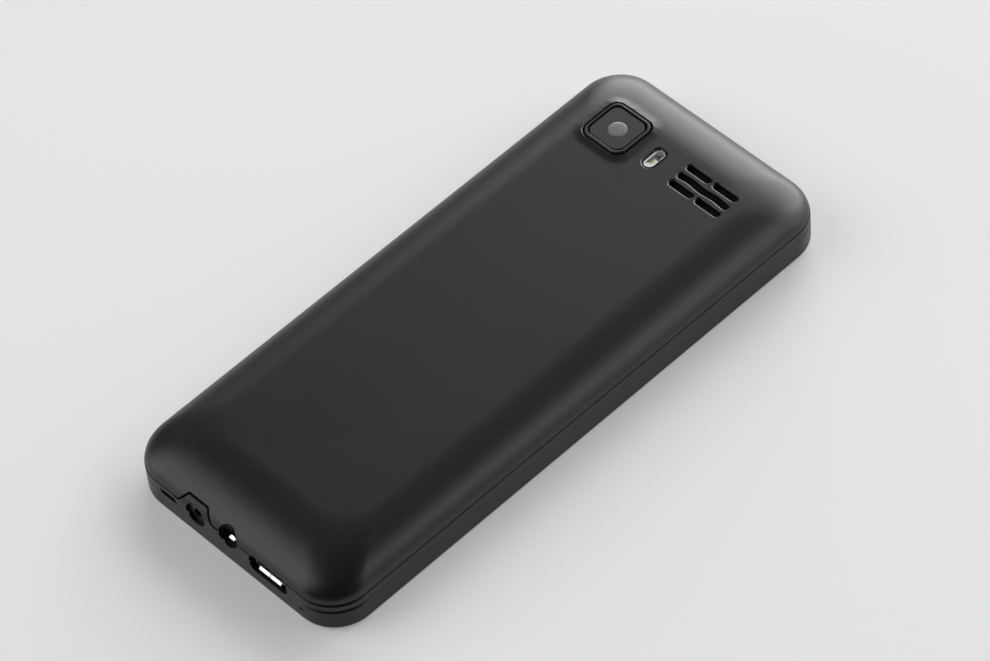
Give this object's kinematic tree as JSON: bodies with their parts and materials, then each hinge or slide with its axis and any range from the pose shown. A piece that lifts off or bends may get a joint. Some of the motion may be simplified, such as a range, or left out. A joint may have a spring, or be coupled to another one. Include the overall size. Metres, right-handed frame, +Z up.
{
  "type": "mobile phone",
  "caption": "Slim bar-shaped keypad phone with a soft-crowned lift-off rear cover, camera, flash, speaker grille, and sockets in its end.",
  "frame": {"origin": "centre of the front face, which lies on the table, under the middle of the housing", "axes": "+Z up through the back, +Y from the port end to the camera end, +X towards the side of the USB socket"},
  "size_m": [0.053, 0.124, 0.013],
  "materials": {
    "soft_touch_black": "matt soft-touch polycarbonate, very fine grain",
    "housing_black": "moulded ABS, fine spark texture",
    "key_black": "moulded keys with a satin lacquer and printed figures",
    "nav_metallic": "satin dark grey metallic paint",
    "window_black": "acrylic window with a black printed border",
    "lcd_glass": "dark display glass",
    "steel_sheet": "stamped stainless sheet",
    "flex_film": "polyimide flexible circuit",
    "circuit_board": "glass-epoxy board with green solder resist",
    "chip_resin": "moulded chip resin",
    "dome_steel": "spring steel domes on film",
    "silicone_rubber": "silicone rubber",
    "battery_wrap": "plastic-wrapped lithium-ion pack, plain",
    "connector_plastic": "glass-filled nylon",
    "gold_plate": "gold-plated spring contacts",
    "antenna_copper": "stamped antenna plate",
    "plated_metal": "tin-plated steel",
    "speaker_black": "loudspeaker basket",
    "foam_black": "closed-cell foam",
    "mesh_black": "woven acoustic mesh",
    "tungsten": "sintered heavy metal",
    "camera_black": "camera module housing",
    "ring_black": "satin black camera bezel",
    "camera_glass": "tinted camera window with a clear centre",
    "led_phosphor": "phosphor over a diode",
    "flash_clear": "clear flash lens",
    "screw_steel": "black-zinc screws"
  },
  "bodies": {
    "phone": {"rear_housing": "housing_black", "front_housing": "housing_black", "display_window": "window_black", "lcd_module": "lcd_glass", "lcd_frame": "steel_sheet", "lcd_flex": "flex_film", "main_board": "circuit_board", "board_chips": "chip_resin", "rf_shields": "steel_sheet", "dome_sheet": "dome_steel", "keypad_membrane": "silicone_rubber", "battery": "battery_wrap", "battery_connector": "connector_plastic", "battery_contacts": "gold_plate", "sim_holder_1": "steel_sheet", "sim_holder_2": "steel_sheet", "memory_card_holder": "steel_sheet", "antenna": "antenna_copper", "audio_jack": "connector_plastic", "jack_sleeve": "plated_metal", "usb_receptacle": "plated_metal", "usb_tongue": "connector_plastic", "loudspeaker": "speaker_black", "speaker_gasket": "foam_black", "speaker_mesh": "mesh_black", "earpiece_mesh": "mesh_black", "earpiece_receiver": "speaker_black", "microphone": "steel_sheet", "microphone_boot": "silicone_rubber", "vibration_motor": "steel_sheet", "camera_module": "camera_black", "camera_ring": "ring_black", "camera_window": "camera_glass", "camera_gasket": "foam_black", "flash_led": "led_phosphor", "flash_lens": "flash_clear", "housing_screws": "screw_steel"},
    "rear_cover": {"rear_cover": "soft_touch_black"},
    "nav_ring": {"nav_ring": "nav_metallic"},
    "nav_centre_key": {"nav_centre_key": "key_black"},
    "vibration_weight": {"vibration_weight": "tungsten"},
    "key_1": {"key_1": "key_black"},
    "key_2": {"key_2": "key_black"},
    "key_3": {"key_3": "key_black"},
    "key_4": {"key_4": "key_black"},
    "key_5": {"key_5": "key_black"},
    "key_6": {"key_6": "key_black"},
    "key_7": {"key_7": "key_black"},
    "key_8": {"key_8": "key_black"},
    "key_9": {"key_9": "key_black"},
    "key_star": {"key_star": "key_black"},
    "key_0": {"key_0": "key_black"},
    "key_hash": {"key_hash": "key_black"},
    "soft_key_left": {"soft_key_left": "key_black"},
    "soft_key_right": {"soft_key_right": "key_black"},
    "call_key": {"call_key": "key_black"},
    "end_key": {"end_key": "key_black"}
  },
  "joints": [
    {"name": "cover_lift", "type": "slide", "parent": "phone", "child": "rear_cover", "axis": [0, 0, 1], "range_m": [0, 0.02]},
    {"name": "key_1_press", "type": "slide", "parent": "phone", "child": "key_1", "axis": [0, 0, 1], "range_m": [0, 0.00025], "stiffness_N_per_m": 800},
    {"name": "key_2_press", "type": "slide", "parent": "phone", "child": "key_2", "axis": [0, 0, 1], "range_m": [0, 0.00025], "stiffness_N_per_m": 800},
    {"name": "key_3_press", "type": "slide", "parent": "phone", "child": "key_3", "axis": [0, 0, 1], "range_m": [0, 0.00025], "stiffness_N_per_m": 800},
    {"name": "key_4_press", "type": "slide", "parent": "phone", "child": "key_4", "axis": [0, 0, 1], "range_m": [0, 0.00025], "stiffness_N_per_m": 800},
    {"name": "key_5_press", "type": "slide", "parent": "phone", "child": "key_5", "axis": [0, 0, 1], "range_m": [0, 0.00025], "stiffness_N_per_m": 800},
    {"name": "key_6_press", "type": "slide", "parent": "phone", "child": "key_6", "axis": [0, 0, 1], "range_m": [0, 0.00025], "stiffness_N_per_m": 800},
    {"name": "key_7_press", "type": "slide", "parent": "phone", "child": "key_7", "axis": [0, 0, 1], "range_m": [0, 0.00025], "stiffness_N_per_m": 800},
    {"name": "key_8_press", "type": "slide", "parent": "phone", "child": "key_8", "axis": [0, 0, 1], "range_m": [0, 0.00025], "stiffness_N_per_m": 800},
    {"name": "key_9_press", "type": "slide", "parent": "phone", "child": "key_9", "axis": [0, 0, 1], "range_m": [0, 0.00025], "stiffness_N_per_m": 800},
    {"name": "key_star_press", "type": "slide", "parent": "phone", "child": "key_star", "axis": [0, 0, 1], "range_m": [0, 0.00025], "stiffness_N_per_m": 800},
    {"name": "key_0_press", "type": "slide", "parent": "phone", "child": "key_0", "axis": [0, 0, 1], "range_m": [0, 0.00025], "stiffness_N_per_m": 800},
    {"name": "key_hash_press", "type": "slide", "parent": "phone", "child": "key_hash", "axis": [0, 0, 1], "range_m": [0, 0.00025], "stiffness_N_per_m": 800},
    {"name": "soft_key_left_press", "type": "slide", "parent": "phone", "child": "soft_key_left", "axis": [0, 0, 1], "range_m": [0, 0.00025], "stiffness_N_per_m": 800},
    {"name": "soft_key_right_press", "type": "slide", "parent": "phone", "child": "soft_key_right", "axis": [0, 0, 1], "range_m": [0, 0.00025], "stiffness_N_per_m": 800},
    {"name": "call_key_press", "type": "slide", "parent": "phone", "child": "call_key", "axis": [0, 0, 1], "range_m": [0, 0.00025], "stiffness_N_per_m": 800},
    {"name": "end_key_press", "type": "slide", "parent": "phone", "child": "end_key", "axis": [0, 0, 1], "range_m": [0, 0.00025], "stiffness_N_per_m": 800},
    {"name": "nav_centre_key_press", "type": "slide", "parent": "phone", "child": "nav_centre_key", "axis": [0, 0, 1], "range_m": [0, 0.00025], "stiffness_N_per_m": 800},
    {"name": "nav_rock", "type": "hinge", "parent": "phone", "child": "nav_ring", "pos_m": [0, -0.0079, 0.0012], "axis": [1, 0, 0], "range_deg": [-2, 2], "stiffness_Nm_per_rad": 0.02},
    {"name": "weight_spin", "type": "hinge", "parent": "phone", "child": "vibration_weight", "pos_m": [0.0209, 0.0417, 0.00685], "axis": [0, 1, 0], "continuous": true}
  ]
}
